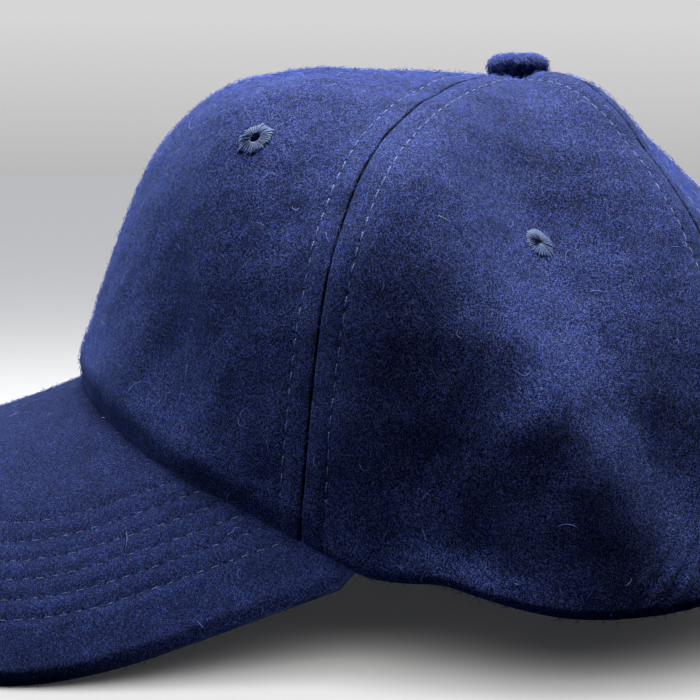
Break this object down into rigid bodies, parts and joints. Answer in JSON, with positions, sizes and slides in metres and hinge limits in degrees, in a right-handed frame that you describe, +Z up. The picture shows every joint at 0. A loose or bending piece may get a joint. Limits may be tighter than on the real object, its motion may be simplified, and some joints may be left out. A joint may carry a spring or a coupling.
{
  "type": "dad hat",
  "caption": "Soft unstructured six-panel wool cap with a long curved peak, covered button, embroidered eyelets, sweatband and a back strap with a slide.",
  "frame": {"origin": "middle of the hat's length and width, on the table it rests on", "axes": "+Z up; -Y to the front, where the peak points; +X to the wearer's left"},
  "size_m": [0.1886, 0.2567, 0.1244],
  "materials": {
    "wool": "navy melton wool with a short brushed nap",
    "eyelet_thread": "slate-blue embroidery thread, slightly glossy",
    "sweatband_cotton": "dark navy cotton twill",
    "buckle_metal": "satin metal slide"
  },
  "bodies": {
    "root": {"panel_front_left": "wool", "panel_front_right": "wool", "panel_side_left": "wool", "panel_side_right": "wool", "panel_back_left": "wool", "panel_back_right": "wool", "eyelet_front_left": "eyelet_thread", "eyelet_front_right": "eyelet_thread", "eyelet_side_left": "eyelet_thread", "eyelet_side_right": "eyelet_thread", "eyelet_back_left": "eyelet_thread", "eyelet_back_right": "eyelet_thread", "button": "wool", "peak_top": "wool", "peak_under": "wool", "sweatband": "sweatband_cotton", "strap": "wool", "buckle": "buckle_metal"}
  },
  "joints": []
}
